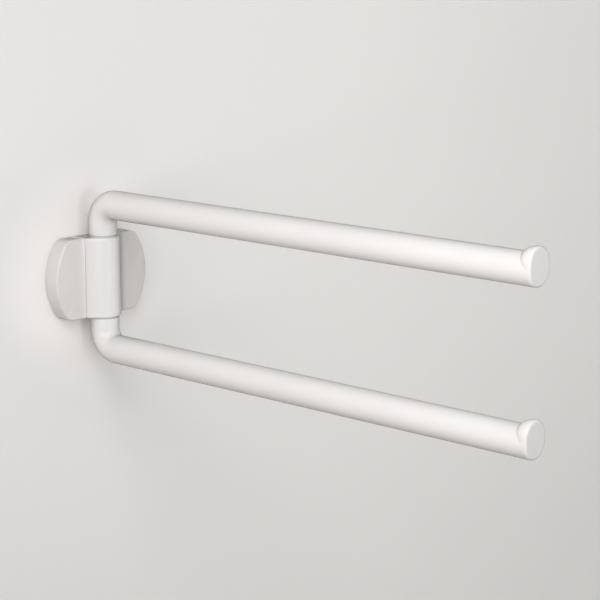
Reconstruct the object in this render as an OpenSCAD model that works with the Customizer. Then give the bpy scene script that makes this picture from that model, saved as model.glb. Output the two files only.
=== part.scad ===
// Two-arm towel holder: a wall bracket whose vertical barrel carries two rails that swivel one above
// the other. Sizes are in millimetres. The wall is the plane y = 0, +Z is up, the rails point
// towards -Y at rest, and the origin is the centre of the bracket's back face.

/* [Rails] */
// Outer diameter of a rail
rail_d = 22; // [19:0.5:24]
// Height from the axis of one rail to the axis of the other
rail_spacing = 110; // [100:1:150]
// Distance from the wall to the end of a rail
reach = 410; // [200:5:600]
// Radius of a rail's elbow, to the axis of the rail
bend_r = 14.5; // [13:0.5:19]
// Diameter of the steel core inside a rail
core_d = 12; // [10:0.5:13]

/* [End caps] */
// Length of the visible body of an end cap
cap_l = 12.5; // [10:0.5:20]
// Height of the towel stop above the rail
lip_h = 4.2; // [2:0.2:6]
// Length over which the towel stop rises
lip_run = 9; // [6:0.5:9.5]
// Rounding of the outer edge of an end cap
cap_edge_r = 1.8; // [0.5:0.1:2.4]
// Length of the spigot that plugs into the rail
spigot_l = 16; // [8:1:25]
// Gap between the spigot's tip and the end of the core
spigot_gap = 0.5; // [0.2:0.1:2]

/* [Bracket] */
// Width of the bracket, the diameter of its round outline
bracket_w = 90; // [84:1:110]
// Height of the bracket, between its flat top and bottom
bracket_h = 61; // [56:1:66]
// Distance from the wall to the flat face of a wing
wing_t = 12.6; // [11.6:0.2:13.6]
// Radius of the four corners of the outline
corner_r = 8.75; // [5:0.25:12]
// Rounding of the outer edges of the bracket
edge_r = 1.5; // [0.6:0.1:2]
// Wall thickness of the wing covers
cover_t = 2.2; // [1.6:0.1:2.6]
// Distance from the wall to the swivel axis
pivot_off = 14; // [13:0.5:16]
// Diameter of the barrel
barrel_d = 25.2; // [24:0.2:30]
// Distance from the middle to where a cove runs out into a wing's flat face
cove_x = 25.2; // [23.6:0.2:27]
// Width of the central housing, from one wing cover to the other
housing_w = 36; // [35:0.5:40]
// Radius of the housing's and the covers' corners beside the joint line
joint_corner_r = 1.8; // [0.6:0.1:2.4]
// Joint line between the housing and a wing cover
joint_gap = 0.3; // [0.2:0.05:0.5]

/* [Wall plate] */
// Thickness of the wall plate
plate_t = 3; // [2:0.25:3.5]
// Clearance between the wall plate and what covers its edge
plate_gap = 0.4; // [0.3:0.05:0.6]
// Distance between the two wall screws
wall_screw_pitch = 60; // [54:1:64]
// Diameter of the holes for the wall screws
wall_hole_d = 5.5; // [4.5:0.1:6.5]
// Distance of a cover's pegs from the middle, sideways
peg_x = 28; // [26:0.5:30]
// Distance of a cover's pegs from the middle, up and down
peg_z = 18.5; // [16:0.5:20]
// Diameter of the pegs behind a wing cover
peg_d = 4; // [3:0.2:4.6]
// Wall thickness of the sockets that hold the pegs
socket_wall = 1.2; // [0.8:0.1:1.6]
// Thickness and overhang of a socket's collar
socket_collar = 1; // [0.6:0.1:1.4]

/* [Swivel] */
// Thickness of the washer between a rail and the barrel
washer_t = 1; // [0.6:0.1:2]
// Set-back of the washer's edge from the rail's surface
washer_inset = 0.6; // [0.3:0.1:1.2]
// Length of a bush
bush_l = 20; // [14:0.5:21]
// Wall thickness of a bush
bush_wall = 2; // [1.5:0.1:2.6]
// Overhang of a bush's flange
flange_w = 1.8; // [1:0.1:2]
// Thickness of a bush's flange
flange_t = 1.2; // [0.8:0.1:2]
// Running clearance between a pivot and its bush, on the radius
run_gap = 0.05; // [0.03:0.01:0.09]
// Gap round a piece that is pressed in or moulded in, on the radius
seat_gap = 0.05; // [0.02:0.01:0.1]
// Thickness of a retaining clip
clip_t = 1.2; // [0.8:0.1:1.6]
// Outer diameter of a retaining clip
clip_d = 17; // [15.6:0.2:17.4]
// Depth of the groove that holds a retaining clip
groove_depth = 1.2; // [0.8:0.1:1.6]
// Length of the pivot beyond its clip
pivot_tip = 3.5; // [2:0.25:4]
// Height of a spring washer's waves, its own thickness included
wave_h = 1.2; // [0.9:0.1:1.8]
// Thickness of a spring washer
wave_t = 0.4; // [0.3:0.05:0.6]

/* [Housing screws] */
// Diameter of the screws that hold the housing to the wall plate
screw_d = 4; // [3:0.5:4.5]
// Distance of these screws from the middle, sideways
screw_x = 13.2; // [12.8:0.2:13.6]
// Distance of these screws from the middle, up and down
screw_z = 21; // [20:0.5:22]
// Length of these screws, head included
screw_l = 12; // [8:1:14]
// Wall thickness left between the hollows in the back of the housing
rib_t = 2; // [1.6:0.1:2.4]
// Depth of these hollows, from the wall plate
hollow_depth = 7.5; // [4:0.5:9]

/* [Hidden] */
$fn = 96;

// A small overlap that lets a cutter pass through the face that it opens
over = 1;
rail_r = rail_d / 2;
core_r = core_d / 2;
half_h = bracket_h / 2;
barrel_r = barrel_d / 2;
// Centre of the round corner at the bracket's upper right, seen from the room
corner_z = half_h - corner_r;
corner_x = sqrt(pow(bracket_w / 2 - corner_r, 2) - pow(corner_z, 2));
// The rail's centre line: it leaves the barrel on the swivel axis and bends towards -Y
rail_z = rail_spacing / 2;
bend_z = rail_z - bend_r;
bend_y = -pivot_off - bend_r;
stem_z = half_h + washer_t;
cap_y = -(reach - cap_l);
rail_bore_r = core_r + seat_gap;
core_end_y = cap_y + spigot_l + spigot_gap;
// The cove is the arc that touches the barrel and the wing's flat face, which it meets at cove_x
barrel_out = pivot_off - wing_t;
cove_r = (pow(cove_x, 2) + pow(barrel_out, 2) - pow(barrel_r, 2)) / (2 * (barrel_r + barrel_out));
cove_y = -(wing_t + cove_r);
// The swivel's stack, from the barrel's end inwards: bush, spring washer, clip, pivot tip
bush_in_r = core_r + run_gap;
bush_out_r = bush_in_r + bush_wall;
flange_r = bush_out_r + flange_w;
bush_end_z = half_h - bush_l;
// Free play between the faces of the swivel's stack
stack_gap = 0.05;
wave_z = bush_end_z - stack_gap;
clip_z = wave_z - wave_h - stack_gap;
groove_top_z = clip_z + stack_gap;
groove_end_z = clip_z - clip_t - stack_gap;
groove_r = core_r - groove_depth;
pivot_end_z = groove_end_z - pivot_tip;
chamber_r = clip_d / 2 + 0.8;
// Countersunk head: as wide as twice the screw, at ninety degrees
head_r = screw_d;
head_h = head_r - screw_d / 2;

WHITE = [0.93, 0.925, 0.915];
NATURAL = [0.86, 0.85, 0.80];
STEEL = [0.62, 0.63, 0.65];
ZINC = [0.72, 0.74, 0.76];
SPRING = [0.45, 0.46, 0.48];

// Front outline of the bracket in x and z: a disc cut flat above and below, with round corners
module outline(inset = 0)
{
    r = bracket_w / 2 - inset;
    h = half_h - inset;
    c = corner_r - inset;
    out = (r + over) / (r - c);
    difference() {
        intersection() {
            circle(r);
            square([2 * r + over, 2 * h], center = true);
        }
        for (sx = [-1, 1], sz = [-1, 1])
            difference() {
                polygon([[sx * corner_x, sz * corner_z], [sx * corner_x, sz * (h + over)],
                    [sx * (r + over), sz * (h + over)], [sx * corner_x * out, sz * corner_z * out]]);
                translate([sx * corner_x, sz * corner_z]) circle(c);
            }
    }
}

// Stands a front view up against the wall, t thick
module upright(t)
{
    rotate([90, 0, 0]) linear_extrude(t) children();
}

// Plan of the bracket in x and y: flat wings, barrel, and the coves between them
module plan(inset = 0)
{
    face = -(wing_t - inset);
    translate([-bracket_w / 2, face]) square([bracket_w, -face]);
    translate([0, -pivot_off]) circle(barrel_r - inset);
    difference() {
        polygon([[0, -pivot_off], [cove_x, cove_y], [cove_x, face / 2], [-cove_x, face / 2],
            [-cove_x, cove_y]]);
        for (s = [-1, 1])
            translate([s * cove_x, cove_y]) circle(cove_r + inset);
    }
}

// Profile of what a rounded edge leaves off: the edge is at the origin, the solid below and left
module edge_cut(r)
{
    difference() {
        translate([-r, -r]) square(r + over);
        translate([-r, -r]) circle(r);
        translate([-2 * r, -2 * r]) square([r, 4 * r]);
        translate([-2 * r, -2 * r]) square([4 * r, r]);
    }
}

// Cut that rounds an edge of radius r about the point c, as far as the outline sector reaches;
// the solid lies inside the edge, or outside it where the edge is hollow
module round_arc(c, r, sector, hollow = false)
{
    intersection() {
        translate(c) rotate_extrude() translate([r, 0]) mirror([hollow ? 1 : 0, 0]) edge_cut(edge_r);
        translate([0, 0, -2 * edge_r]) linear_extrude(4 * edge_r) polygon(sector);
    }
}

// Rounds the edges where the barrel and the coves meet the flat top
module round_top_edges()
{
    far = cove_y - bracket_w;
    translate([0, 0, half_h]) {
        round_arc([0, -pivot_off], barrel_r,
            [[0, -pivot_off], [cove_x, cove_y], [cove_x, far], [-cove_x, far], [-cove_x, cove_y]]);
        for (s = [0, 1])
            mirror([s, 0, 0])
                round_arc([cove_x, cove_y], cove_r,
                    [[cove_x, cove_y], [0, -pivot_off], [0, 0], [cove_x, 0]], hollow = true);
    }
}

// Rounds the front edges of the flat wings: rim, corners and straight edges, cut end to end
module round_front_edges()
{
    translate([0, -wing_t, 0]) rotate([90, 0, 0])
        for (sx = [0, 1]) mirror([sx, 0, 0]) {
            round_arc([0, 0], bracket_w / 2,
                [[0, 0], [2 * corner_x, -2 * corner_z], [2 * corner_x, 2 * corner_z]]);
            for (sz = [0, 1]) mirror([0, sz, 0]) {
                round_arc([corner_x, corner_z], corner_r,
                    [[corner_x, corner_z], [2 * corner_x, 2 * corner_z], [corner_x, bracket_h]]);
                translate([corner_x, half_h, 0]) rotate([90, 0, -90])
                    linear_extrude(corner_x - cove_x) edge_cut(edge_r);
            }
        }
}

// Takes the square corner off beside the joint line; x is the joint side of the piece
module joint_corner(x, side)
{
    c = joint_corner_r;
    for (sz = [-1, 1])
        translate([0, over, 0]) upright(wing_t + cove_r)
            difference() {
                polygon([[x - side * over, sz * (half_h - c)], [x - side * over, sz * (half_h + over)],
                    [x + side * c, sz * (half_h + over)], [x + side * c, sz * (half_h - c)]]);
                translate([x + side * c, sz * (half_h - c)]) circle(c);
            }
}

// The whole outer form of the bracket as one solid, to be parted at the joint lines
module bracket_form()
{
    difference() {
        intersection() {
            translate([0, 0, -half_h]) linear_extrude(bracket_h) plan();
            translate([0, over, 0]) upright(wing_t + cove_r + barrel_d) outline();
        }
        for (s = [0, 1]) mirror([0, 0, s]) round_top_edges();
        round_front_edges();
    }
}

// Room for the swivel inside the barrel: two bush seats, a chamber, and its window at the back
module swivel_room()
{
    translate([0, -pivot_off, 0]) {
        translate([0, 0, -half_h - over])
            cylinder(h = bracket_h + 2 * over, r = bush_out_r + seat_gap);
        for (s = [0, 1])
            mirror([0, 0, s]) translate([0, 0, half_h - flange_t])
                cylinder(h = flange_t + over, r = flange_r + seat_gap);
        translate([0, 0, -bush_end_z]) cylinder(h = 2 * bush_end_z, r = chamber_r);
        translate([-chamber_r, 0, -bush_end_z])
            cube([2 * chamber_r, pivot_off, 2 * bush_end_z]);
    }
}

// Hollows in the back of the housing, which keep its walls even, with a rib half way up
module housing_hollows()
{
    inner = chamber_r + rib_t;
    outer = housing_w / 2 - rib_t;
    top = screw_z - screw_d / 2 - rib_t;
    for (sx = [-1, 1], sz = [-1, 1])
        translate([sx * (inner + outer) / 2, -plate_t - hollow_depth / 2 + over / 2,
            sz * (rib_t / 2 + top) / 2])
            cube([outer - inner, hollow_depth + over, top - rib_t / 2], center = true);
}

// Places a child at each of the four screws that join the housing to the wall plate
module at_housing_screws()
{
    for (sx = [-1, 1], sz = [-1, 1])
        translate([sx * screw_x, 0, sz * screw_z]) rotate([90, 0, 0]) children();
}

// Places a child at each of the two pegs of the cover on side sx
module at_pegs(sx)
{
    for (sz = [-1, 1])
        translate([sx * peg_x, 0, sz * peg_z]) rotate([90, 0, 0]) children();
}

// A countersunk screw with its head at the origin and its tip along +Z, each size grown by gap
module countersunk(l, gap)
{
    cylinder(h = head_h + gap, r1 = head_r + gap, r2 = screw_d / 2);
    cylinder(h = l, r = screw_d / 2 + gap);
}

module wall_plate()
{
    color(ZINC) difference() {
        upright(plate_t) outline(cover_t + plate_gap);
        for (sx = [-1, 1])
            translate([sx * wall_screw_pitch / 2, over, 0]) rotate([90, 0, 0])
                cylinder(h = plate_t + 2 * over, r = wall_hole_d / 2);
        at_housing_screws() countersunk(plate_t + over, seat_gap);
        for (sx = [-1, 1])
            at_pegs(sx) translate([0, 0, -over])
                cylinder(h = plate_t + 2 * over, r = socket_r() + seat_gap);
    }
}

module barrel_housing()
{
    x = housing_w / 2;
    color(WHITE) difference() {
        bracket_form();
        for (s = [-1, 1])
            translate([s * (x + bracket_w / 2), 0, 0])
                cube([bracket_w, 3 * bracket_w, 3 * bracket_w], center = true);
        joint_corner(-x, 1);
        joint_corner(x, -1);
        // Room for the wall plate, which the housing's top and bottom walls hide
        translate([-x - over, -plate_t, -half_h + cover_t])
            cube([2 * (x + over), plate_t + over, bracket_h - 2 * cover_t]);
        swivel_room();
        housing_hollows();
        at_housing_screws() cylinder(h = screw_l + over, r = screw_d / 2 + seat_gap);
    }
}

// Wing cover on side sx: a thin shell with two pegs that push into the wall plate's sockets
module wing_cover(sx)
{
    x = sx * (housing_w / 2 + joint_gap);
    peg_end = plate_t / 3;
    color(WHITE) {
        difference() {
            bracket_form();
            translate([x - sx * bracket_w / 2, 0, 0])
                cube([bracket_w, 3 * bracket_w, 3 * bracket_w], center = true);
            joint_corner(x, sx);
            intersection() {
                translate([0, 0, -half_h]) linear_extrude(bracket_h) plan(cover_t);
                translate([0, over, 0]) upright(wing_t + cove_r + over) outline(cover_t);
            }
        }
        at_pegs(sx) {
            translate([0, 0, peg_end]) cylinder(h = wing_t - cover_t / 2 - peg_end, r = peg_d / 2);
            // The peg spreads where it meets the cover
            translate([0, 0, wing_t - cover_t - peg_d / 2])
                cylinder(h = peg_d / 2 + cover_t / 2, r1 = peg_d / 2, r2 = peg_d);
        }
    }
}

function socket_r() = peg_d / 2 + seat_gap + socket_wall;

// Sockets that grip the covers' pegs, each with a collar on the front of the wall plate
module cover_sockets()
{
    color(NATURAL)
        for (sx = [-1, 1])
            at_pegs(sx) difference() {
                union() {
                    cylinder(h = plate_t + socket_collar / 2, r = socket_r());
                    translate([0, 0, plate_t]) cylinder(h = socket_collar, r = socket_r() + socket_collar);
                }
                translate([0, 0, -over])
                    cylinder(h = plate_t + socket_collar + 2 * over, r = peg_d / 2 + seat_gap);
            }
}

module housing_screws()
{
    color(STEEL) at_housing_screws() countersunk(screw_l, 0);
}

// Bush for the upper pivot, its flange let into the barrel's end
module bush()
{
    translate([0, -pivot_off, 0]) difference() {
        union() {
            translate([0, 0, bush_end_z]) cylinder(h = bush_l, r = bush_out_r);
            translate([0, 0, half_h - flange_t]) cylinder(h = flange_t, r = flange_r);
        }
        translate([0, 0, bush_end_z - over]) cylinder(h = bush_l + 2 * over, r = bush_in_r);
    }
}

module upper_bush()
{
    color(NATURAL) bush();
}

module lower_bush()
{
    color(NATURAL) mirror([0, 0, 1]) bush();
}

// A round bar along the upper rail's centre line, from height z0 round the elbow to y_end
module bent_bar(r, z0, y_end)
{
    translate([0, -pivot_off, z0]) cylinder(h = bend_z - z0, r = r);
    translate([0, bend_y, bend_z]) rotate([90, 0, 90])
        rotate_extrude(angle = 90) translate([bend_r, 0]) circle(r);
    translate([0, bend_y, rail_z]) rotate([90, 0, 0]) cylinder(h = bend_y - y_end, r = r);
}

// The moulded sleeve of a rail: stem, elbow and straight rail in one piece
module rail()
{
    difference() {
        bent_bar(rail_r, stem_z, cap_y);
        translate([0, -pivot_off, stem_z - over]) cylinder(h = 2 * over, r = rail_bore_r);
        bent_bar(rail_bore_r, stem_z, cap_y - over);
    }
}

// The bent steel core of a rail, whose lower end is the pivot with its clip groove
module core()
{
    tip = core_r / 4;
    difference() {
        bent_bar(core_r, pivot_end_z + tip, core_end_y);
        translate([0, -pivot_off, groove_end_z]) difference() {
            cylinder(h = groove_top_z - groove_end_z, r = core_r + over);
            translate([0, 0, -over]) cylinder(h = groove_top_z - groove_end_z + 2 * over, r = groove_r);
        }
    }
    translate([0, -pivot_off, pivot_end_z]) cylinder(h = tip, r1 = core_r - tip, r2 = core_r);
}

// Half section of an end cap: radius across, distance from the end face upwards
module cap_section(l)
{
    difference() {
        square([rail_r, l]);
        rotate([0, 0, -90]) translate([0, rail_r]) edge_cut(cap_edge_r);
    }
}

// Half section of the towel stop, whose back rises in an arc from the rail to the full height
module lip_section()
{
    flat = cap_edge_r + 0.4;
    arc_r = (pow(lip_h, 2) + pow(lip_run, 2)) / (2 * lip_h);
    intersection() {
        cap_section(flat + lip_run);
        union() {
            square([rail_r, flat]);
            translate([rail_r - arc_r, flat]) circle(arc_r);
        }
    }
}

// An end cap about the rail's axis, with its end face at y = 0 and its spigot towards +Y
module end_cap()
{
    rotate([-90, 0, 0]) {
        rotate_extrude() cap_section(cap_l);
        cylinder(h = cap_l + spigot_l, r = core_r);
        translate([0, -lip_h, 0]) rotate([0, 0, 180]) rotate_extrude(angle = 180) lip_section();
        for (s = [0, 1])
            mirror([s, 0, 0]) rotate([90, 0, 0]) linear_extrude(lip_h) lip_section();
    }
}

// Flat washer between a rail's stem and the barrel's end
module thrust_washer()
{
    translate([0, -pivot_off, half_h]) difference() {
        cylinder(h = washer_t, r = rail_r - washer_inset);
        translate([0, 0, -over]) cylinder(h = washer_t + 2 * over, r = core_r + seat_gap);
    }
}

// Spring washer with three waves, which keeps the swivel from swinging by itself
module spring_washer()
{
    waves = 3;
    steps = 72;
    r_in = core_r + 0.3;
    r_out = bush_out_r;
    swing = (wave_h - wave_t) / 2;
    points = [for (i = [0 : steps - 1])
        let (a = 360 * i / steps, z = swing * cos(waves * a))
            for (p = [[r_in, -wave_t / 2], [r_out, -wave_t / 2], [r_out, wave_t / 2], [r_in, wave_t / 2]])
                [p[0] * cos(a), p[0] * sin(a), z + p[1]]];
    faces = [for (i = [0 : steps - 1], k = [0 : 3])
        let (j = (i + 1) % steps, m = (k + 1) % 4)
            for (f = [[4 * i + k, 4 * i + m, 4 * j + m], [4 * i + k, 4 * j + m, 4 * j + k]]) f];
    translate([0, -pivot_off, wave_z - wave_h / 2]) polyhedron(points, faces);
}

// Retaining clip: an open ring with three prongs that reach into the pivot's groove
module retaining_clip()
{
    prong_w = 3;
    opening = 2 * groove_r - 1;
    ring_in = core_r + 0.5;
    translate([0, -pivot_off, clip_z - clip_t]) linear_extrude(clip_t) difference() {
        union() {
            difference() {
                circle(clip_d / 2);
                circle(ring_in);
            }
            for (a = [-90, 40, 140])
                rotate(a) translate([0, -prong_w / 2]) square([ring_in + over / 2, prong_w]);
        }
        circle(groove_r + seat_gap);
        translate([-opening / 2, 0]) square([opening, clip_d]);
    }
}

module upper_rail()
{
    color(WHITE) rail();
}

module upper_core()
{
    color(STEEL) core();
}

module upper_end_cap()
{
    color(WHITE) translate([0, -reach, rail_z]) end_cap();
}

module upper_thrust_washer()
{
    color(NATURAL) thrust_washer();
}

module upper_spring_washer()
{
    color(SPRING) spring_washer();
}

module upper_retaining_clip()
{
    color(SPRING) retaining_clip();
}

module lower_rail()
{
    color(WHITE) mirror([0, 0, 1]) rail();
}

module lower_core()
{
    color(STEEL) mirror([0, 0, 1]) core();
}

// The lower end cap isn't mirrored: its towel stop points up as well
module lower_end_cap()
{
    color(WHITE) translate([0, -reach, -rail_z]) end_cap();
}

module lower_thrust_washer()
{
    color(NATURAL) mirror([0, 0, 1]) thrust_washer();
}

module lower_spring_washer()
{
    color(SPRING) mirror([0, 0, 1]) spring_washer();
}

module lower_retaining_clip()
{
    color(SPRING) mirror([0, 0, 1]) retaining_clip();
}

wall_plate();
barrel_housing();
wing_cover(-1);  // left_cover
wing_cover(1);  // right_cover
cover_sockets();
housing_screws();
upper_bush();
lower_bush();
upper_rail();
upper_core();
upper_end_cap();
upper_thrust_washer();
upper_spring_washer();
upper_retaining_clip();
lower_rail();
lower_core();
lower_end_cap();
lower_thrust_washer();
lower_spring_washer();
lower_retaining_clip();
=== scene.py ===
"""Two-arm towel holder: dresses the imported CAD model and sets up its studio.

The wall is the plane y = 0, +Z is up and the rails point towards -Y. Lengths are in metres.
"""
from __future__ import annotations

import logging
import math
from collections.abc import Callable
from dataclasses import dataclass, field, fields
from enum import Enum

import bpy
from mathutils import Matrix, Vector


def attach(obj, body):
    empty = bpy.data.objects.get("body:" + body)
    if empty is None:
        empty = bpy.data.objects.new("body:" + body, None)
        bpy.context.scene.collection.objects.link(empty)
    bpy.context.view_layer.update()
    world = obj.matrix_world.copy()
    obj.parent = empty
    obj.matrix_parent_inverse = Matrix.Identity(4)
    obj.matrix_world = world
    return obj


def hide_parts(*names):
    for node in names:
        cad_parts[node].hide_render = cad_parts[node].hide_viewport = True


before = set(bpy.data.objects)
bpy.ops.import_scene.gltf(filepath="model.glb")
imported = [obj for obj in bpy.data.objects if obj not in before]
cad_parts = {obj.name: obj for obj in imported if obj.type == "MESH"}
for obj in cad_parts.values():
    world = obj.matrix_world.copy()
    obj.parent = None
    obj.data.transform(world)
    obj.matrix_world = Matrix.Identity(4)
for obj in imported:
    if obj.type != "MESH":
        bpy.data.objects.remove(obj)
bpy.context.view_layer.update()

LOG: logging.Logger = logging.getLogger("towel_holder")
MM: float = 0.001
# Two places that are closer than this count as one.
NEAR: float = 0.01 * MM
Colour = tuple[float, float, float]
Place = tuple[float, float, float]
Range = tuple[float, float]
Paint = Colour | bpy.types.NodeSocket
BLACK: Colour = (0.0, 0.0, 0.0)
WHITE: Colour = (1.0, 1.0, 1.0)


class Half(Enum):
    """One of two halves that mirror each other; the value is the sign of its coordinate."""

    @property
    def word(self) -> str:
        """Name of the half as the CAD nodes use it."""
        return self.name.lower()


class Tier(Half):
    """The two rails, by the side of the bracket that they leave, along Z."""

    UPPER = 1
    LOWER = -1


class Side(Half):
    """The two wings as seen from the room, along X."""

    LEFT = -1
    RIGHT = 1


class Axis(Enum):
    """An axis of the shared frame."""

    X = "X"
    Y = "Y"
    Z = "Z"


class Grain(Enum):
    """Direction in which a surface was worked; the value is the stretch of its marks."""

    EVEN = (1.0, 1.0, 1.0)
    ALONG_X = (0.02, 1.0, 1.0)
    ALONG_Y = (1.0, 0.02, 1.0)
    AROUND_Z = (0.03, 0.03, 1.0)


class Sum(Enum):
    """What a Math node works out; the value is Blender's name for it."""

    PLUS = "ADD"
    MINUS = "SUBTRACT"
    TIMES = "MULTIPLY"
    ABOVE = "GREATER_THAN"


class Choice(Enum):
    """What is selected in edit mode; the value is Blender's name for it."""

    VERTICES = "VERT"
    EDGES = "EDGE"
    FACES = "FACE"


class Change(Enum):
    """A modifier; the value is Blender's name for it."""

    THICKEN = "SOLIDIFY"
    BEVEL = "BEVEL"
    WIND = "SCREW"
    COMBINE = "BOOLEAN"


class Joining(Enum):
    """How a tool changes a piece; the value is Blender's name for it."""

    CUT = "DIFFERENCE"
    JOIN = "UNION"


class Solver(Enum):
    """Blender's way to combine two meshes; MANIFOLD keeps nearly level faces closed."""

    EXACT = "EXACT"
    MANIFOLD = "MANIFOLD"


@dataclass(frozen=True)
class Pattern:
    """Cloudy noise by the size of its marks, its levels of finer noise and its direction."""

    size_mm: float
    detail: float = 2.0
    grain: Grain = Grain.EVEN


class Term:
    """A shader value that takes part in Python expressions and adds their Math nodes."""

    def __init__(self, recipe: Recipe, socket: bpy.types.NodeSocket) -> None:
        """Wraps an output socket.

        Args:
            recipe: Recipe whose node tree holds the socket.
            socket: Output socket to be wrapped.
        """
        self.recipe = recipe
        self.socket = socket

    def _work_out(self, what: Sum, first: Term | float, second: Term | float) -> Term:
        """Adds one Math node.

        Args:
            what: What the node works out.
            first: Left side of the expression.
            second: Right side of the expression.

        Returns:
            The node's result.
        """
        made = self.recipe.node("ShaderNodeMath", {"operation": what.value}, {0: first, 1: second})
        return Term(self.recipe, made.outputs[0])

    def __add__(self, other: Term | float) -> Term:
        """Sum of two values."""
        return self._work_out(Sum.PLUS, self, other)

    def __radd__(self, other: float) -> Term:
        """Sum with a number on the left."""
        return self._work_out(Sum.PLUS, other, self)

    def __rsub__(self, other: float) -> Term:
        """Difference with a number on the left."""
        return self._work_out(Sum.MINUS, other, self)

    def __mul__(self, other: Term | float) -> Term:
        """Product of two values."""
        return self._work_out(Sum.TIMES, self, other)

    def over(self, other: float) -> Term:
        """1 where this value is above the other, else 0."""
        return self._work_out(Sum.ABOVE, self, other)


class Recipe:
    """Node tree of one material."""

    def __init__(self, name: str) -> None:
        """Starts a material with its plain shader.

        Args:
            name: Name of the material.
        """
        self.material = bpy.data.materials.new(name)
        self.material.use_nodes = True
        self.tree = self.material.node_tree
        self.shader = self.tree.nodes["Principled BSDF"]
        self.place = self.node("ShaderNodeTexCoord").outputs["Object"]

    def node(
        self,
        kind: str,
        settings: dict[str, object] | None = None,
        inputs: dict[str | int, object] | None = None,
    ) -> bpy.types.Node:
        """Adds one node.

        Args:
            kind: Blender's type of the node.
            settings: The node's properties.
            inputs: Values or links by socket name or number.

        Returns:
            The node.
        """
        made = self.tree.nodes.new(kind)
        for key, value in (settings or {}).items():
            setattr(made, key, value)
        self.feed(made, inputs or {})
        return made

    def feed(self, target: bpy.types.Node, inputs: dict[str | int, object]) -> None:
        """Sets or links a node's inputs.

        Args:
            target: Node that takes the inputs.
            inputs: Values or links by socket name or number.
        """
        for key, value in inputs.items():
            source = value.socket if isinstance(value, Term) else value
            if isinstance(source, bpy.types.NodeSocket):
                self.tree.links.new(source, target.inputs[key])
            else:
                target.inputs[key].default_value = source

    def noise(self, pattern: Pattern) -> Term:
        """Cloudy noise from 0 to 1.

        Args:
            pattern: Size, detail and direction of its marks.

        Returns:
            The noise.
        """
        inputs = {"Vector": self.place, "Scale": pattern.grain.value}
        drawn = self.node("ShaderNodeMapping", None, inputs)
        scale = 1.0 / (pattern.size_mm * MM)
        inputs = {"Vector": drawn.outputs[0], "Scale": scale, "Detail": pattern.detail}
        return Term(self, self.node("ShaderNodeTexNoise", None, inputs).outputs["Fac"])

    def band(self, source: Term, span: Range) -> Term:
        """Value that rises smoothly from 0 to 1.

        Args:
            source: Value that is read.
            span: Readings that give 0 and 1.

        Returns:
            The smoothed step.
        """
        made = self.node(
            "ShaderNodeMapRange",
            {"interpolation_type": "SMOOTHSTEP"},
            {"Value": source, "From Min": span[0], "From Max": span[1]},
        )
        return Term(self, made.outputs[0])

    def slant(self) -> Term:
        """0 where the surface faces the eye, rising to 1 where it turns away."""
        return Term(self, self.node("ShaderNodeLayerWeight").outputs["Facing"])

    def along(self, axis: Axis) -> Term:
        """Place of the surface along an axis, in metres."""
        parts = self.node("ShaderNodeSeparateXYZ", None, {0: self.place})
        return Term(self, parts.outputs[axis.value])

    def blend(self, factor: Term, first: Paint, second: Paint) -> bpy.types.NodeSocket:
        """Colour between two colours.

        Args:
            factor: 0 for the first colour, 1 for the second.
            first: First colour, or the socket that gives it.
            second: Second colour, or the socket that gives it.

        Returns:
            The mixed colour's socket.
        """
        ends = [
            paint if isinstance(paint, bpy.types.NodeSocket) else (*paint, 1.0)
            for paint in (first, second)
        ]
        made = self.node("ShaderNodeMix", {"data_type": "RGBA"}, {0: factor, 6: ends[0], 7: ends[1]})
        return made.outputs[2]

    def mix_shader(
        self, factor: Term, first: bpy.types.Node, second: bpy.types.Node
    ) -> bpy.types.Node:
        """Mixes two shaders.

        Args:
            factor: 0 for the first shader, 1 for the second.
            first: First shader's node.
            second: Second shader's node.

        Returns:
            The mixing node.
        """
        inputs = {0: factor, 1: first.outputs[0], 2: second.outputs[0]}
        return self.node("ShaderNodeMixShader", None, inputs)

    def relief(self, height: Term, depth_mm: float) -> bpy.types.NodeSocket:
        """Bump of a true depth.

        Args:
            height: Height from 0 to 1.
            depth_mm: Depth that a height of 1 stands for, in millimetres.

        Returns:
            The bent normal's socket.
        """
        made = self.node("ShaderNodeBump", None, {"Distance": depth_mm * MM, "Height": height})
        return made.outputs[0]


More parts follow.
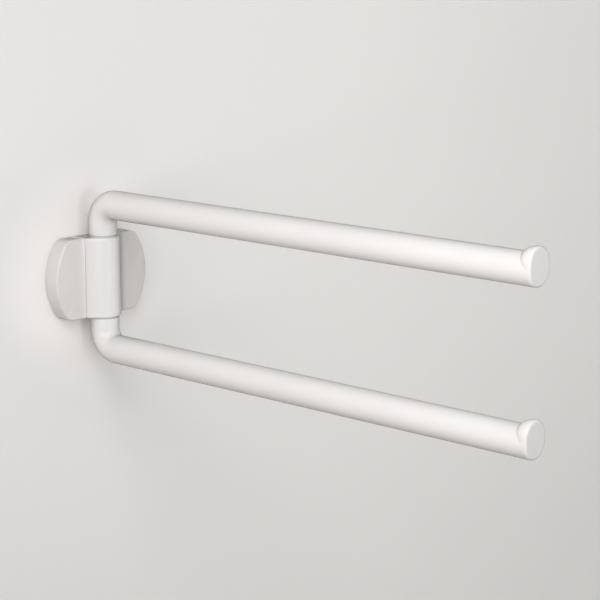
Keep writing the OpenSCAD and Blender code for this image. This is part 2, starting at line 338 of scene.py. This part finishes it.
@dataclass(frozen=True)
class MouldedPlastic:
    """Injection moulded plastic: an orange-peel skin with faint flow clouds and scuffs, darker close to
    the wall.

    Close to the wall the skin is darker, browner and a little rougher. Its base colour darkens towards
    black where it turns away from the eye: painted shade along the outlines.
    """

    name: str
    colour: Colour
    cloud_colour: Colour
    roughness: float
    clouds: Pattern = Pattern(38.0, 3.0)
    cloud_span: Range = (0.3, 0.7)
    peel: Pattern = Pattern(1.3, 1.5)
    peel_depth_mm: float = 0.0035
    pores: Pattern = Pattern(0.25)
    pore_height: float = 0.25
    pore_roughness: float = 0.03
    scuffs: Pattern = Pattern(1.1, 4.0, Grain.ALONG_Y)
    scuff_span: Range = (0.66, 0.8)
    scuff_roughness: float = 0.1
    touch: Pattern = Pattern(55.0)
    touch_span: Range = (0.35, 0.75)
    touch_roughness: float = 0.05
    # Share of the painted shade along the outlines.
    painted_edge_shade: float = 0.9
    # Close to the wall the skin turns darker, browner and rougher, in clouds.
    near_wall_colour: Colour = (0.46, 0.43, 0.395)
    near_wall_y: Range = (-0.0165, -0.0115)
    near_wall_share: float = 0.3
    near_wall_least: float = 0.8
    near_wall_clouds: float = 0.4
    near_wall_roughness: float = 0.03

    def material(self) -> bpy.types.Material:
        """Mixes the finish.

        Returns:
            Its material.
        """
        recipe = Recipe(self.name)
        clouds = recipe.noise(self.clouds)
        pores = recipe.noise(self.pores)
        scuffs = recipe.band(recipe.noise(self.scuffs), self.scuff_span)
        touch = recipe.band(recipe.noise(self.touch), self.touch_span)
        # Darker, browner and rougher close to the wall.
        near_wall = recipe.band(recipe.along(Axis.Y), self.near_wall_y)
        rough = self.roughness + touch * self.touch_roughness + pores * self.pore_roughness
        worn = rough + scuffs * self.scuff_roughness + near_wall * self.near_wall_roughness
        moulded = recipe.blend(recipe.band(clouds, self.cloud_span), self.colour, self.cloud_colour)
        near_wall_mix = near_wall * (self.near_wall_least + clouds * self.near_wall_clouds) * self.near_wall_share
        skin = recipe.blend(near_wall_mix, moulded, self.near_wall_colour)
        # Painted shade: the base colour darkens towards black where the surface turns away from the
        # eye, darkening the outlines.
        slant = recipe.slant()
        edge = slant * slant * slant * self.painted_edge_shade
        height = recipe.noise(self.peel) + pores * self.pore_height
        recipe.feed(
            recipe.shader,
            {
                "Base Color": recipe.blend(edge, skin, BLACK),
                "Roughness": worn,
                "Normal": recipe.relief(height, self.peel_depth_mm),
            },
        )
        return recipe.material


@dataclass(frozen=True)
class WorkedSteel:
    """Steel with the marks of its making, a slight change of tone and a few dull spots."""

    name: str
    colour: Colour
    toned_colour: Colour
    roughness: float
    marks: Pattern
    marks_depth_mm: float = 0.004
    marks_roughness: float = 0.14
    tones: Pattern = Pattern(9.0, 3.0)
    tone_span: Range = (0.3, 0.7)
    spots: Pattern = Pattern(2.2, 5.0)
    spot_span: Range = (0.68, 0.78)
    spot_colour: Colour = (0.42, 0.42, 0.41)
    spot_share: float = 0.6
    spot_roughness: float = 0.18

    def material(self) -> bpy.types.Material:
        """Mixes the finish.

        Returns:
            Its material.
        """
        recipe = Recipe(self.name)
        marks = recipe.noise(self.marks)
        tones = recipe.band(recipe.noise(self.tones), self.tone_span)
        spots = recipe.band(recipe.noise(self.spots), self.spot_span)
        metal = recipe.blend(tones, self.colour, self.toned_colour)
        worked = self.roughness + marks * self.marks_roughness
        recipe.feed(
            recipe.shader,
            {
                "Base Color": recipe.blend(spots * self.spot_share, metal, self.spot_colour),
                "Metallic": 1.0,
                "Roughness": worked + spots * self.spot_roughness,
                "Normal": recipe.relief(marks, self.marks_depth_mm),
            },
        )
        return recipe.material


@dataclass(frozen=True)
class StudioPaint:
    """Matt paint of the wall and the floor, seen from its front only.

    Its tone goes from the left colour to the right one and gets darker downwards; on the wall this is
    painted shade set against the lamps' light. It can be paler round the bracket, a painted light that
    takes away the bracket's shade on the wall, glow in its own colour and have an opening behind the
    bracket.
    """

    name: str
    left_colour: Colour
    right_colour: Colour
    side_x: Range = (-0.2, 0.4)
    low_shade: float = 0.0
    low_z: Range = (-0.45, 0.0)
    # Painted light round the bracket: its colour, share and radius.
    painted_light_colour: Colour = (0.98, 0.96, 0.95)
    painted_light_share: float = 0.0
    painted_light_r: float = 0.1
    stipple: Pattern = Pattern(2.4, 3.0)
    stipple_depth_mm: float = 0.012
    roughness: float = 0.85
    specular: float = 0.2
    glow: float = 0.0
    glow_colour: Colour = WHITE
    opening_r: float = 0.0
    opening_half: float = 0.0

    def material(self) -> bpy.types.Material:
        """Mixes the finish; its back and its opening let the view and the light through.

        Returns:
            Its material.
        """
        recipe = Recipe(self.name)
        right, up = recipe.along(Axis.X), recipe.along(Axis.Z)
        # On the wall, the tone from left to right and the darkening downwards are painted shade.
        toned = recipe.blend(recipe.band(right, self.side_x), self.left_colour, self.right_colour)
        shade = (1.0 - recipe.band(up, self.low_z)) * self.low_shade
        away = right * right + up * up
        # Painted light: paler paint round the bracket that takes away the bracket's shade on the wall.
        painted_light = (1.0 - recipe.band(away, (0.0, self.painted_light_r**2))) * self.painted_light_share
        recipe.feed(
            recipe.shader,
            {
                "Base Color": recipe.blend(painted_light, recipe.blend(shade, toned, BLACK), self.painted_light_colour),
                "Roughness": self.roughness,
                "Specular IOR Level": self.specular,
                "Normal": recipe.relief(recipe.noise(self.stipple), self.stipple_depth_mm),
            },
        )
        shine = recipe.node("ShaderNodeEmission", None, {"Color": (*self.glow_colour, 1.0)})
        seen = Term(recipe, recipe.node("ShaderNodeLightPath").outputs["Is Camera Ray"])
        front = recipe.mix_shader(seen * self.glow, recipe.shader, shine)
        clear = recipe.node("ShaderNodeBsdfTransparent")
        behind = Term(recipe, recipe.node("ShaderNodeNewGeometry").outputs["Backfacing"])
        round_part = 1.0 - away.over(self.opening_r**2)
        opening = round_part * (1.0 - (up * up).over(self.opening_half**2))
        both = recipe.mix_shader(behind + (1.0 - behind) * opening, front, clear)
        recipe.feed(recipe.tree.nodes["Material Output"], {"Surface": both.outputs[0]})
        return recipe.material


@dataclass(frozen=True)
class Finishes:
    """Every finish of the towel holder, by the record's material slots."""

    white_polyamide: MouldedPlastic = MouldedPlastic(
        "white_polyamide", (0.76, 0.745, 0.737), (0.748, 0.733, 0.725), roughness=0.2
    )
    natural_acetal: MouldedPlastic = MouldedPlastic(
        "natural_acetal",
        (0.60, 0.597, 0.585),
        (0.56, 0.557, 0.545),
        roughness=0.4,
        peel=Pattern(0.8, 1.5),
    )
    zinc_plated_steel: WorkedSteel = WorkedSteel(
        "zinc_plated_steel",
        (0.70, 0.72, 0.74),
        (0.64, 0.67, 0.72),
        roughness=0.3,
        marks=Pattern(0.35, 3.0, Grain.ALONG_X),
    )
    screw_steel: WorkedSteel = WorkedSteel(
        "screw_steel",
        (0.62, 0.63, 0.65),
        (0.55, 0.56, 0.58),
        roughness=0.22,
        marks=Pattern(0.2, 3.0),
    )
    core_steel: WorkedSteel = WorkedSteel(
        "core_steel",
        (0.58, 0.59, 0.60),
        (0.52, 0.53, 0.54),
        roughness=0.25,
        marks=Pattern(0.12, 3.0, Grain.AROUND_Z),
    )
    spring_steel: WorkedSteel = WorkedSteel(
        "spring_steel",
        (0.33, 0.34, 0.37),
        (0.26, 0.27, 0.31),
        roughness=0.32,
        marks=Pattern(0.15, 3.0),
    )


class Wardrobe:
    """Mixes each finish once and puts it on nodes and pieces."""

    def __init__(self, finishes: Finishes) -> None:
        """Mixes all finishes.

        Args:
            finishes: Finishes by slot.
        """
        slots = [one.name for one in fields(finishes)]
        self.materials = {slot: getattr(finishes, slot).material() for slot in slots}

    def dress(self, slot: str, *nodes: str) -> None:
        """Puts a finish on CAD nodes.

        Args:
            slot: The record's material slot.
            nodes: Names of the CAD nodes.
        """
        for name in nodes:
            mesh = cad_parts[name].data
            if not mesh.materials:
                mesh.materials.append(None)
            for number in range(len(mesh.materials)):
                mesh.materials[number] = self.materials[slot]
            LOG.info("%s: %s", name, slot)

    def finish(self, piece: bpy.types.Object, slot: str) -> None:
        """Puts a finish on a new piece and names its slot.

        Args:
            piece: The new piece.
            slot: The record's material slot.
        """
        piece.data.materials.clear()
        piece.data.materials.append(self.materials[slot])
        LOG.info("%s: new piece, %s", piece.name, slot)


class Bench:
    """What every modelled piece needs: edit mode, selection by place, modifiers."""

    MERGE: float = 0.002 * MM
    SMOOTH_DEG: float = 35.0

    @staticmethod
    def clear() -> None:
        """Deselects every object."""
        bpy.ops.object.select_all(action="DESELECT")

    @staticmethod
    def take(piece: bpy.types.Object) -> None:
        """Selects one piece alone and makes it active.

        Args:
            piece: The piece.
        """
        Bench.clear()
        piece.select_set(True)
        bpy.context.view_layer.objects.active = piece

    @staticmethod
    def edit(choice: Choice) -> None:
        """Enters edit mode with everything selected.

        Args:
            choice: Kind of selection.
        """
        bpy.ops.object.mode_set(mode="EDIT")
        bpy.ops.mesh.select_mode(type=choice.value)
        bpy.ops.mesh.select_all(action="SELECT")

    @staticmethod
    def pick(piece: bpy.types.Object, choice: Choice, fits: Callable[[Vector], bool]) -> None:
        """Enters edit mode with what lies wholly in a given place selected.

        Args:
            piece: Piece that is edited.
            choice: Kind of selection.
            fits: Whether a vertex at a place is part of it.
        """
        Bench.take(piece)
        Bench.edit(Choice.VERTICES)
        bpy.ops.mesh.select_all(action="DESELECT")
        Bench.leave()
        for vertex in piece.data.vertices:
            vertex.select = fits(vertex.co)
        bpy.ops.object.mode_set(mode="EDIT")
        bpy.ops.mesh.select_mode(type=choice.value)

    @staticmethod
    def leave() -> None:
        """Leaves edit mode."""
        bpy.ops.object.mode_set(mode="OBJECT")

    @staticmethod
    def modify(piece: bpy.types.Object, change: Change, **settings: object) -> None:
        """Adds one modifier and applies it.

        Args:
            piece: Piece that is modified.
            change: The modifier.
            settings: Its properties.
        """
        Bench.take(piece)
        modifier = piece.modifiers.new(change.name, change.value)
        for key, value in settings.items():
            setattr(modifier, key, value)
        bpy.ops.object.modifier_apply(modifier=modifier.name)

    @staticmethod
    def combine(
        piece: bpy.types.Object, tool: bpy.types.Object, joining: Joining, solver: Solver
    ) -> None:
        """Joins a tool to a piece or cuts it out, and throws the tool away.

        Args:
            piece: Piece that is changed.
            tool: The other mesh.
            joining: How the tool changes the piece.
            solver: Way to combine the two.
        """
        Bench.modify(
            piece, Change.COMBINE, operation=joining.value, object=tool, solver=solver.value
        )
        bpy.data.objects.remove(tool)

    @staticmethod
    def settle(piece: bpy.types.Object) -> None:
        """Puts a piece's place into its mesh, turns its faces outwards and smooths its shading.

        Args:
            piece: Piece that is done.
        """
        Bench.take(piece)
        bpy.ops.object.transform_apply(location=True, rotation=True, scale=True)
        Bench.edit(Choice.VERTICES)
        bpy.ops.mesh.remove_doubles(threshold=Bench.MERGE)
        bpy.ops.mesh.normals_make_consistent(inside=False)
        Bench.leave()
        bpy.ops.object.shade_smooth_by_angle(angle=math.radians(Bench.SMOOTH_DEG))
        Bench.clear()


@dataclass
class SwivelRail:
    """One rail with all that swivels with it: sleeve, steel core, end cap and swivel rings."""

    tier: Tier
    diameter: float = 22 * MM
    spacing: float = 110 * MM
    reach: float = 410 * MM
    bend_r: float = 14.5 * MM
    core_d: float = 12 * MM
    core_gap: float = 0.05 * MM
    pivot_off: float = 14 * MM
    foot_z: float = 31.5 * MM
    foot_edge_r: float = 1.0 * MM
    cap_l: float = 12.5 * MM
    sides: int = 160
    bend_steps: int = 40
    edge_steps: int = 6

    @property
    def body(self) -> str:
        """Name of the CAD body that the rail belongs to."""
        return f"{self.tier.word}_arm"

    def build_sleeve(self) -> bpy.types.Object:
        """Models the moulded sleeve: stem, elbow and arm spun from one ring.

        Returns:
            The sleeve.
        """
        radius = self.diameter / 2
        bend_y = -self.pivot_off - self.bend_r
        bend_z = self.spacing / 2 - self.bend_r
        arm_end = -(self.reach - self.cap_l)
        Bench.clear()
        bpy.ops.mesh.primitive_circle_add(
            vertices=self.sides, radius=radius, location=(0, -self.pivot_off, self.foot_z)
        )
        sleeve = bpy.context.object
        sleeve.name = f"{self.tier.word}_sleeve"
        bpy.ops.object.transform_apply(location=True)
        Bench.edit(Choice.EDGES)
        bpy.ops.mesh.extrude_region_move(TRANSFORM_OT_translate={"value": (0, 0, bend_z - self.foot_z)})
        bpy.ops.mesh.spin(
            steps=self.bend_steps, angle=-math.pi / 2, center=(0, bend_y, bend_z), axis=(1, 0, 0)
        )
        bpy.ops.mesh.extrude_region_move(TRANSFORM_OT_translate={"value": (0, arm_end - bend_y, 0)})
        Bench.leave()
        wall = radius - self.core_d / 2 - self.core_gap
        Bench.modify(sleeve, Change.THICKEN, thickness=wall, offset=-1.0)
        self._round_foot(sleeve)
        if self.tier is Tier.LOWER:
            Bench.take(sleeve)
            bpy.ops.transform.resize(value=(1, 1, -1), center_override=(0, 0, 0))
        Bench.settle(sleeve)
        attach(sleeve, self.body)
        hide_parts(f"{self.tier.word}_rail")
        return sleeve

    def _round_foot(self, sleeve: bpy.types.Object) -> None:
        """Rounds the outer edge of the stem's foot, where it faces the barrel.

        Args:
            sleeve: The sleeve, with its stem still pointing up.
        """

        def on_rim(place: Vector) -> bool:
            """Whether a place is on the foot's outer edge."""
            out = math.hypot(place.x, place.y + self.pivot_off)
            return place.z < self.foot_z + NEAR and out > self.diameter / 2 - NEAR

        Bench.pick(sleeve, Choice.EDGES, on_rim)
        bpy.ops.mesh.bevel(offset=self.foot_edge_r, segments=self.edge_steps, affect="EDGES")
        Bench.leave()

    def dress(self, wardrobe: Wardrobe) -> None:
        """Builds the new piece and finishes it and the CAD nodes.

        Args:
            wardrobe: The mixed finishes.
        """
        word = self.tier.word
        wardrobe.finish(self.build_sleeve(), "white_polyamide")
        wardrobe.dress("white_polyamide", f"{word}_end_cap")
        wardrobe.dress("core_steel", f"{word}_core")
        wardrobe.dress("natural_acetal", f"{word}_thrust_washer")
        wardrobe.dress("spring_steel", f"{word}_spring_washer", f"{word}_retaining_clip")


@dataclass
class HousingScrews:
    """The four countersunk screws that hold the housing to the wall plate from behind."""

    diameter: float = 4.0 * MM
    length: float = 12.0 * MM
    head_r: float = 4.0 * MM
    rim: float = 0.25 * MM
    point: float = 1.2 * MM
    point_share: float = 0.35
    edge: float = 0.12 * MM
    edge_steps: int = 2
    edge_angle: float = 0.7
    across: float = 13.2 * MM
    up: float = 21.0 * MM
    pitch: float = 1.4 * MM
    thread_depth: float = 0.45 * MM
    thread_root_r: float = 1.28 * MM
    turn_steps: int = 24
    recess_d: float = 4.4 * MM
    recess_w: float = 0.85 * MM
    recess_depth: float = 1.7 * MM
    recess_floor: Range = (0.35, 0.7)
    sides: int = 48

    def _blank(self) -> bpy.types.Object:
        """Models the head, the shank and the point, with the head's face at z = 0.

        Returns:
            The blank, whose point is towards +Z.
        """
        shank_r = self.diameter / 2 - self.thread_depth
        cone = self.head_r - shank_r
        Bench.clear()
        bpy.ops.mesh.primitive_circle_add(vertices=self.sides, radius=self.head_r, fill_type="NGON")
        blank = bpy.context.object
        Bench.edit(Choice.FACES)
        steps = (
            (self.rim, 1.0),
            (cone - self.rim, shank_r / self.head_r),
            (self.length - cone - self.point, 1.0),
            (self.point, self.point_share),
        )
        for rise, shrink in steps:
            bpy.ops.mesh.extrude_region_move(TRANSFORM_OT_translate={"value": (0, 0, rise)})
            bpy.ops.transform.resize(value=(shrink, shrink, 1))
        Bench.leave()
        return blank

    def _thread(self) -> bpy.types.Object:
        """Winds the thread's ridge round the shank, with its sharp edge outwards.

        Returns:
            The thread.
        """
        start = self.head_r - self.diameter / 2 + self.pitch
        turns = int((self.length - start - self.point) / self.pitch)
        Bench.clear()
        bpy.ops.mesh.primitive_circle_add(
            vertices=3,
            radius=self.thread_depth,
            location=(self.thread_root_r + self.thread_depth / 2, 0, start),
            rotation=(math.pi / 2, math.pi / 2, 0),
        )
        thread = bpy.context.object
        bpy.ops.object.transform_apply(location=True, rotation=True)
        Bench.modify(
            thread,
            Change.WIND,
            angle=math.tau,
            screw_offset=self.pitch,
            iterations=turns,
            steps=self.turn_steps,
            render_steps=self.turn_steps,
        )
        Bench.edit(Choice.EDGES)
        bpy.ops.mesh.fill_holes(sides=3)
        Bench.leave()
        return thread

    def _recess(self) -> bpy.types.Object:
        """Models the cutter of the cross recess, which narrows towards its floor.

        Returns:
            The cutter.
        """
        bars = []
        for turn in (0.0, math.pi / 2):
            Bench.clear()
            bpy.ops.mesh.primitive_cube_add(size=1.0)
            bar = bpy.context.object
            bar.scale = (self.recess_d, self.recess_w, 2 * self.recess_depth)
            bpy.ops.object.transform_apply(scale=True)
            Bench.pick(bar, Choice.VERTICES, lambda place: place.z > 0.0)
            bpy.ops.transform.resize(value=(*self.recess_floor, 1))
            Bench.leave()
            bar.rotation_euler.z = turn
            bpy.ops.object.transform_apply(rotation=True)
            bars.append(bar)
        Bench.combine(bars[0], bars[1], Joining.JOIN, Solver.EXACT)
        return bars[0]

    def build(self) -> list[bpy.types.Object]:
        """Models one screw and copies it to its four places.

        Returns:
            The four screws.
        """
        screw = self._blank()
        Bench.combine(screw, self._recess(), Joining.CUT, Solver.EXACT)
        Bench.modify(
            screw,
            Change.BEVEL,
            width=self.edge,
            segments=self.edge_steps,
            limit_method="ANGLE",
            angle_limit=self.edge_angle,
        )
        thread = self._thread()
        Bench.take(screw)
        thread.select_set(True)
        bpy.ops.object.join()
        screw.rotation_euler.x = math.pi / 2
        Bench.settle(screw)
        places = [(sx * self.across, 0.0, sz * self.up) for sx in (-1, 1) for sz in (-1, 1)]
        screws = []
        for number, place in enumerate(places, 1):
            copy = bpy.data.objects.new(f"housing_screw_{number}", screw.data.copy())
            bpy.context.scene.collection.objects.link(copy)
            copy.data.transform(Matrix.Translation(place))
            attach(copy, "bracket")
            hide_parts("housing_screws")
            screws.append(copy)
        bpy.data.objects.remove(screw)
        return screws


@dataclass
class WingCover:
    """One wing cover, with the straight part of its front edges rounded like the rest.

    The solid has a small square step there, between the cove and the round corner.
    """

    side: Side
    height: float = 61 * MM
    wing_t: float = 12.6 * MM
    straight_from: float = 25.2 * MM
    straight_to: float = 29.0 * MM
    edge_r: float = 1.5 * MM
    inlay: float = 2.0 * MM
    edge_steps: int = 8

    def _block(self, tier: Tier, proud: float) -> bpy.types.Object:
        """Places a block over the straight part of one front edge.

        Args:
            tier: Whether it is the upper or the lower edge.
            proud: How far the block stands out of the cover.

        Returns:
            The block.
        """
        middle_x = self.side.value * (self.straight_from + self.straight_to) / 2
        across = self.inlay + proud
        inset = (self.inlay - proud) / 2
        Bench.clear()
        bpy.ops.mesh.primitive_cube_add(
            size=1.0,
            location=(middle_x, inset - self.wing_t, tier.value * (self.height / 2 - inset)),
            scale=(self.straight_to - self.straight_from, across, across),
        )
        bpy.ops.object.transform_apply(location=True, rotation=False, scale=True)
        return bpy.context.object

    def _bar(self, tier: Tier) -> bpy.types.Object:
        """Models the bar that fills the cut again, with its outer edge rounded.

        Args:
            tier: Whether it is for the upper or the lower edge.

        Returns:
            The bar.
        """
        bar = self._block(tier, 0.0)
        edge_z = tier.value * self.height / 2

        def on_edge(place: Vector) -> bool:
            """Whether a place is on the bar's outer edge."""
            return abs(place.y + self.wing_t) < NEAR and abs(place.z - edge_z) < NEAR

        Bench.pick(bar, Choice.EDGES, on_edge)
        bpy.ops.mesh.bevel(offset=self.edge_r, segments=self.edge_steps, affect="EDGES")
        Bench.leave()
        return bar

    def build(self) -> bpy.types.Object:
        """Copies the solid's mesh and renews the straight part of its two front edges.

        Returns:
            The cover.
        """
        node = f"{self.side.word}_cover"
        cover = bpy.data.objects.new(f"{self.side.word}_wing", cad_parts[node].data.copy())
        bpy.context.scene.collection.objects.link(cover)
        Bench.take(cover)
        bpy.ops.mesh.customdata_custom_splitnormals_clear()
        Bench.settle(cover)
        for tier in Tier:
            Bench.combine(cover, self._block(tier, self.edge_r), Joining.CUT, Solver.MANIFOLD)
            Bench.combine(cover, self._bar(tier), Joining.JOIN, Solver.MANIFOLD)
        Bench.settle(cover)
        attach(cover, "bracket")
        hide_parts(node)
        return cover


@dataclass
class Bracket:
    """The bracket on the wall: plate, housing, wing covers, bushes and fasteners."""

    screws: HousingScrews = field(default_factory=HousingScrews)

    def dress(self, wardrobe: Wardrobe) -> None:
        """Builds the new pieces and finishes them and the CAD nodes.

        Args:
            wardrobe: The mixed finishes.
        """
        wardrobe.dress("white_polyamide", "barrel_housing", "left_cover", "right_cover")
        wardrobe.dress("zinc_plated_steel", "wall_plate")
        wardrobe.dress("natural_acetal", "cover_sockets", "upper_bush", "lower_bush")
        for side in Side:
            wardrobe.finish(WingCover(side).build(), "white_polyamide")
        for screw in self.screws.build():
            wardrobe.finish(screw, "screw_steel")


@dataclass(frozen=True)
class SoftLamp:
    """A square soft box that stands round the rails and looks at them."""

    name: str
    azimuth_deg: float
    elevation_deg: float
    distance: float
    side: float
    power: float
    aim: Place = (0.0, -0.2, 0.0)

    @property
    def place(self) -> Vector:
        """Where the lamp hangs; azimuth 0 is straight in front of the wall, positive to the right.

        Returns:
            The lamp's place.
        """
        azimuth, elevation = math.radians(self.azimuth_deg), math.radians(self.elevation_deg)
        level = math.cos(elevation)
        way = Vector((math.sin(azimuth) * level, -math.cos(azimuth) * level, math.sin(elevation)))
        return Vector(self.aim) + way * self.distance

    def light(self) -> None:
        """Hangs the lamp where the camera doesn't see it."""
        data = bpy.data.lights.new(self.name, "AREA")
        data.shape = "SQUARE"
        data.size = self.side
        data.energy = self.power
        lamp = bpy.data.objects.new(self.name, data)
        bpy.context.scene.collection.objects.link(lamp)
        lamp.visible_camera = False
        lamp.location = self.place
        lamp.rotation_euler = (Vector(self.aim) - lamp.location).to_track_quat("-Z", "Y").to_euler()


@dataclass
class Studio:
    """Wall, floor, lamps, pale surroundings and the camera."""

    wall_y: float = 0.5 * MM
    floor_z: float = -1.6
    span: float = 9.0
    # The wall's two tones and its darkening downwards are painted shade; its paler patch round the
    # bracket is painted light.
    left_wall: Colour = (0.80, 0.785, 0.776)
    right_wall: Colour = (0.916, 0.898, 0.883)
    wall_shade: float = 0.07
    wall_patch: float = 0.6
    opening_r: float = 44 * MM
    opening_half: float = 29.5 * MM
    floor_colour: Colour = (0.775, 0.76, 0.745)
    floor_glow: float = 0.8
    glow_colour: Colour = (0.89, 0.873, 0.856)
    surround: float = 0.27
    surround_colour: Colour = (1.0, 0.998, 0.99)
    backdrop_colour: Colour = (0.80, 0.785, 0.77)
    lens: float = 113.32
    sensor: float = 36.0
    camera_place: Place = (-0.9411, -1.0577, 0.2759)
    yaw_deg: float = 48.082
    pitch_deg: float = 11.921
    roll_deg: float = 0.084
    lamps: tuple[SoftLamp, ...] = (
        SoftLamp("front_lamp", azimuth_deg=15, elevation_deg=12, distance=2.5, side=3.0, power=9.2),
        SoftLamp("key_lamp", azimuth_deg=0, elevation_deg=2, distance=1.3, side=0.3, power=3.0),
        SoftLamp("right_lamp", azimuth_deg=50, elevation_deg=5, distance=2.5, side=2.0, power=8.3),
        SoftLamp("left_lamp", azimuth_deg=-75, elevation_deg=5, distance=2.0, side=0.8, power=11.9),
        SoftLamp("upper_lamp", azimuth_deg=-40, elevation_deg=45, distance=2.0, side=1.1, power=11.1),
        SoftLamp(
            "end_lamp",
            azimuth_deg=-90,
            elevation_deg=22,
            distance=0.45,
            side=0.3,
            power=0.94,
            aim=(0.0, -0.48, 0.08),
        ),
        SoftLamp(
            "back_lamp",
            azimuth_deg=165,
            elevation_deg=12,
            distance=2.0,
            side=1.5,
            power=7.0,
            aim=(0.0, 0.0, 0.0),
        ),
    )

    def _sheet(self, name: str, place: Place, turn: Place, paint: StudioPaint) -> None:
        """Makes one painted sheet of the studio.

        Args:
            name: Name of the sheet.
            place: Its middle.
            turn: Its turn from lying flat, in radians.
            paint: Its paint.
        """
        Bench.clear()
        bpy.ops.mesh.primitive_plane_add(size=self.span, location=place, rotation=turn)
        sheet = bpy.context.object
        sheet.name = name
        bpy.ops.object.transform_apply(location=True, rotation=True)
        sheet.data.materials.append(paint.material())

    def _stage(self) -> None:
        """Stands the wall behind the bracket and lays the floor far below.

        The wall is open behind the bracket, so that the lamp at the back lights the bracket's back.
        """
        half = self.span / 2
        wall_paint = StudioPaint(
            "wall_paint",
            self.left_wall,
            self.right_wall,
            low_shade=self.wall_shade,
            painted_light_share=self.wall_patch,
            opening_r=self.opening_r,
            opening_half=self.opening_half,
        )
        floor_paint = StudioPaint(
            "floor_paint",
            self.floor_colour,
            self.floor_colour,
            glow=self.floor_glow,
            glow_colour=self.glow_colour,
        )
        wall_place = (0, self.wall_y, half + self.floor_z)
        floor_place = (0, self.wall_y - half, self.floor_z)
        self._sheet("studio_wall", wall_place, (math.pi / 2, 0, 0), wall_paint)
        self._sheet("studio_floor", floor_place, (0, 0, 0), floor_paint)

    def _surround(self) -> None:
        """Gives the room an even soft light and a pale backdrop."""
        world = bpy.data.worlds.new("studio")
        bpy.context.scene.world = world
        world.use_nodes = True
        tree = world.node_tree
        light = tree.nodes["Background"]
        light.inputs["Color"].default_value = (*self.surround_colour, 1.0)
        light.inputs["Strength"].default_value = self.surround
        backdrop = tree.nodes.new("ShaderNodeBackground")
        backdrop.inputs["Color"].default_value = (*self.backdrop_colour, 1.0)
        path = tree.nodes.new("ShaderNodeLightPath")
        both = tree.nodes.new("ShaderNodeMixShader")
        tree.links.new(path.outputs["Is Camera Ray"], both.inputs[0])
        tree.links.new(light.outputs[0], both.inputs[1])
        tree.links.new(backdrop.outputs[0], both.inputs[2])
        tree.links.new(both.outputs[0], tree.nodes["World Output"].inputs["Surface"])

    def _camera(self) -> None:
        """Sets the camera at the photograph's viewing angle."""
        data = bpy.data.cameras.new("camera")
        data.lens = self.lens
        data.sensor_width = self.sensor
        camera = bpy.data.objects.new("camera", data)
        bpy.context.scene.collection.objects.link(camera)
        camera.matrix_world = (
            Matrix.Translation(self.camera_place)
            @ Matrix.Rotation(-math.radians(self.yaw_deg), 4, "Z")
            @ Matrix.Rotation(math.pi / 2 - math.radians(self.pitch_deg), 4, "X")
            @ Matrix.Rotation(-math.radians(self.roll_deg), 4, "Z")
        )
        bpy.context.scene.camera = camera

    def build(self) -> None:
        """Sets up the whole studio."""
        self._stage()
        self._surround()
        for lamp in self.lamps:
            lamp.light()
        self._camera()
        bpy.context.scene.view_settings.view_transform = "Standard"
        LOG.info("studio: %d lamps", len(self.lamps))


def main() -> None:
    """Builds the towel holder and its studio."""
    wardrobe = Wardrobe(Finishes())
    Bracket().dress(wardrobe)
    for tier in Tier:
        SwivelRail(tier).dress(wardrobe)
    Studio().build()


if __name__ == "__main__":
    logging.basicConfig(level=logging.INFO, format="%(message)s")
    main()
